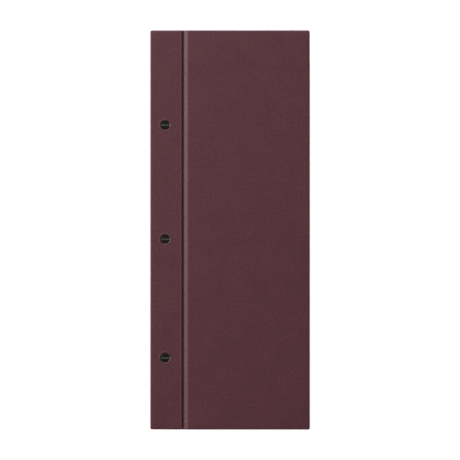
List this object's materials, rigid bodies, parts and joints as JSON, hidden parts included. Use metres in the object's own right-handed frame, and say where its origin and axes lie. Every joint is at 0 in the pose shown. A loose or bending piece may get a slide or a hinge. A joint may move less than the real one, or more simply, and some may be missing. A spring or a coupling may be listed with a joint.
{
  "type": "coin album",
  "caption": "Tall narrow post-bound coin album: leatherette board covers with a hinge groove, black binding screws, and turning pages with coin openings and clear slides.",
  "frame": {"origin": "middle of the closed album's footprint, on the outer face of the back cover", "axes": "+X from the bound edge to the opening edge, +Y from the foot to the head along the bound edge, +Z from the back cover to the front cover"},
  "size_m": [0.148, 0.37, 0.0238],
  "materials": {
    "cover_cloth": "burgundy leatherette, fine pebble grain, satin",
    "grey_board": null,
    "lining": "embossed black end paper, matte",
    "black_metal": "black lacquer, satin",
    "web_cloth": "woven book cloth",
    "page_board": "solid die-cut page board",
    "page_card": "smooth blue-black card",
    "clear_slide": "clear acetate"
  },
  "bodies": {
    "binding": {"front_strip_board": "grey_board", "front_strip_cloth": "cover_cloth", "front_strip_lining": "lining", "front_hinge_cloth": "cover_cloth", "back_strip_board": "grey_board", "back_strip_cloth": "cover_cloth", "back_strip_lining": "lining", "back_hinge_cloth": "cover_cloth", "upper_post": "black_metal", "middle_post": "black_metal", "lower_post": "black_metal", "page_1_stub": "grey_board", "page_1_web": "web_cloth", "page_2_stub": "grey_board", "page_2_web": "web_cloth", "page_3_stub": "grey_board", "page_3_web": "web_cloth", "page_4_stub": "grey_board", "page_4_web": "web_cloth"},
    "front_cover": {"front_cover_board": "grey_board", "front_cover_cloth": "cover_cloth", "front_cover_lining": "lining"},
    "back_cover": {"back_cover_board": "grey_board", "back_cover_cloth": "cover_cloth", "back_cover_lining": "lining"},
    "page_1": {"page_1_core": "page_board", "page_1_front_card": "page_card", "page_1_back_card": "page_card"},
    "page_2": {"page_2_core": "page_board", "page_2_front_card": "page_card", "page_2_back_card": "page_card"},
    "page_3": {"page_3_core": "page_board", "page_3_front_card": "page_card", "page_3_back_card": "page_card"},
    "page_4": {"page_4_core": "page_board", "page_4_front_card": "page_card", "page_4_back_card": "page_card"},
    "page_1_front_left_slide": {"page_1_front_left_slide": "clear_slide"},
    "page_1_front_right_slide": {"page_1_front_right_slide": "clear_slide"},
    "page_1_back_left_slide": {"page_1_back_left_slide": "clear_slide"},
    "page_1_back_right_slide": {"page_1_back_right_slide": "clear_slide"},
    "page_2_front_left_slide": {"page_2_front_left_slide": "clear_slide"},
    "page_2_front_right_slide": {"page_2_front_right_slide": "clear_slide"},
    "page_2_back_left_slide": {"page_2_back_left_slide": "clear_slide"},
    "page_2_back_right_slide": {"page_2_back_right_slide": "clear_slide"},
    "page_3_front_left_slide": {"page_3_front_left_slide": "clear_slide"},
    "page_3_front_right_slide": {"page_3_front_right_slide": "clear_slide"},
    "page_3_back_left_slide": {"page_3_back_left_slide": "clear_slide"},
    "page_3_back_right_slide": {"page_3_back_right_slide": "clear_slide"},
    "page_4_front_left_slide": {"page_4_front_left_slide": "clear_slide"},
    "page_4_front_right_slide": {"page_4_front_right_slide": "clear_slide"},
    "page_4_back_left_slide": {"page_4_back_left_slide": "clear_slide"},
    "page_4_back_right_slide": {"page_4_back_right_slide": "clear_slide"},
    "upper_screw": {"upper_screw": "black_metal"},
    "middle_screw": {"middle_screw": "black_metal"},
    "lower_screw": {"lower_screw": "black_metal"}
  },
  "joints": [
    {"name": "front_cover_hinge", "type": "hinge", "parent": "binding", "child": "front_cover", "pos_m": [-0.0422, 0, 0.02395], "axis": [0, -1, 0], "range_deg": [0, 180], "deforming": ["front_hinge_cloth"]},
    {"name": "back_cover_hinge", "type": "hinge", "parent": "binding", "child": "back_cover", "pos_m": [-0.0422, 0, -0.00015], "axis": [0, 1, 0], "range_deg": [0, 180], "deforming": ["back_hinge_cloth"]},
    {"name": "page_1_hinge", "type": "hinge", "parent": "binding", "child": "page_1", "pos_m": [-0.0432, 0, 0.021], "axis": [0, -1, 0], "range_deg": [0, 126], "deforming": ["page_1_web"]},
    {"name": "page_2_hinge", "type": "hinge", "parent": "binding", "child": "page_2", "pos_m": [-0.0432, 0, 0.0166], "axis": [0, -1, 0], "range_deg": [0, 97.2], "deforming": ["page_2_web"]},
    {"name": "page_3_hinge", "type": "hinge", "parent": "binding", "child": "page_3", "pos_m": [-0.0432, 0, 0.0122], "axis": [0, -1, 0], "range_deg": [0, 68.4], "deforming": ["page_3_web"]},
    {"name": "page_4_hinge", "type": "hinge", "parent": "binding", "child": "page_4", "pos_m": [-0.0432, 0, 0.0078], "axis": [0, -1, 0], "range_deg": [0, 39.6], "deforming": ["page_4_web"]},
    {"name": "page_1_front_left_slide_pull", "type": "slide", "parent": "page_1", "child": "page_1_front_left_slide", "axis": [0, 1, 0], "range_m": [0, 0.335]},
    {"name": "page_1_front_right_slide_pull", "type": "slide", "parent": "page_1", "child": "page_1_front_right_slide", "axis": [0, 1, 0], "range_m": [0, 0.335]},
    {"name": "page_1_back_left_slide_pull", "type": "slide", "parent": "page_1", "child": "page_1_back_left_slide", "axis": [0, 1, 0], "range_m": [0, 0.335]},
    {"name": "page_1_back_right_slide_pull", "type": "slide", "parent": "page_1", "child": "page_1_back_right_slide", "axis": [0, 1, 0], "range_m": [0, 0.335]},
    {"name": "page_2_front_left_slide_pull", "type": "slide", "parent": "page_2", "child": "page_2_front_left_slide", "axis": [0, 1, 0], "range_m": [0, 0.335]},
    {"name": "page_2_front_right_slide_pull", "type": "slide", "parent": "page_2", "child": "page_2_front_right_slide", "axis": [0, 1, 0], "range_m": [0, 0.335]},
    {"name": "page_2_back_left_slide_pull", "type": "slide", "parent": "page_2", "child": "page_2_back_left_slide", "axis": [0, 1, 0], "range_m": [0, 0.335]},
    {"name": "page_2_back_right_slide_pull", "type": "slide", "parent": "page_2", "child": "page_2_back_right_slide", "axis": [0, 1, 0], "range_m": [0, 0.335]},
    {"name": "page_3_front_left_slide_pull", "type": "slide", "parent": "page_3", "child": "page_3_front_left_slide", "axis": [0, 1, 0], "range_m": [0, 0.335]},
    {"name": "page_3_front_right_slide_pull", "type": "slide", "parent": "page_3", "child": "page_3_front_right_slide", "axis": [0, 1, 0], "range_m": [0, 0.335]},
    {"name": "page_3_back_left_slide_pull", "type": "slide", "parent": "page_3", "child": "page_3_back_left_slide", "axis": [0, 1, 0], "range_m": [0, 0.335]},
    {"name": "page_3_back_right_slide_pull", "type": "slide", "parent": "page_3", "child": "page_3_back_right_slide", "axis": [0, 1, 0], "range_m": [0, 0.335]},
    {"name": "page_4_front_left_slide_pull", "type": "slide", "parent": "page_4", "child": "page_4_front_left_slide", "axis": [0, 1, 0], "range_m": [0, 0.335]},
    {"name": "page_4_front_right_slide_pull", "type": "slide", "parent": "page_4", "child": "page_4_front_right_slide", "axis": [0, 1, 0], "range_m": [0, 0.335]},
    {"name": "page_4_back_left_slide_pull", "type": "slide", "parent": "page_4", "child": "page_4_back_left_slide", "axis": [0, 1, 0], "range_m": [0, 0.335]},
    {"name": "page_4_back_right_slide_pull", "type": "slide", "parent": "page_4", "child": "page_4_back_right_slide", "axis": [0, 1, 0], "range_m": [0, 0.335]},
    {"name": "upper_screw_turn", "type": "hinge", "parent": "binding", "child": "upper_screw", "pos_m": [-0.06, 0.0971, 0.0226], "axis": [0, 0, 1], "continuous": true},
    {"name": "middle_screw_turn", "type": "hinge", "parent": "binding", "child": "middle_screw", "pos_m": [-0.06, -0.0086, 0.0226], "axis": [0, 0, 1], "continuous": true},
    {"name": "lower_screw_turn", "type": "hinge", "parent": "binding", "child": "lower_screw", "pos_m": [-0.06, -0.1186, 0.0226], "axis": [0, 0, 1], "continuous": true}
  ],
  "couplings": [
    {"joint": "page_1_hinge", "follows": "front_cover_hinge", "ratio": 0.7},
    {"joint": "page_2_hinge", "follows": "front_cover_hinge", "ratio": 0.54},
    {"joint": "page_3_hinge", "follows": "front_cover_hinge", "ratio": 0.38},
    {"joint": "page_4_hinge", "follows": "front_cover_hinge", "ratio": 0.22}
  ]
}
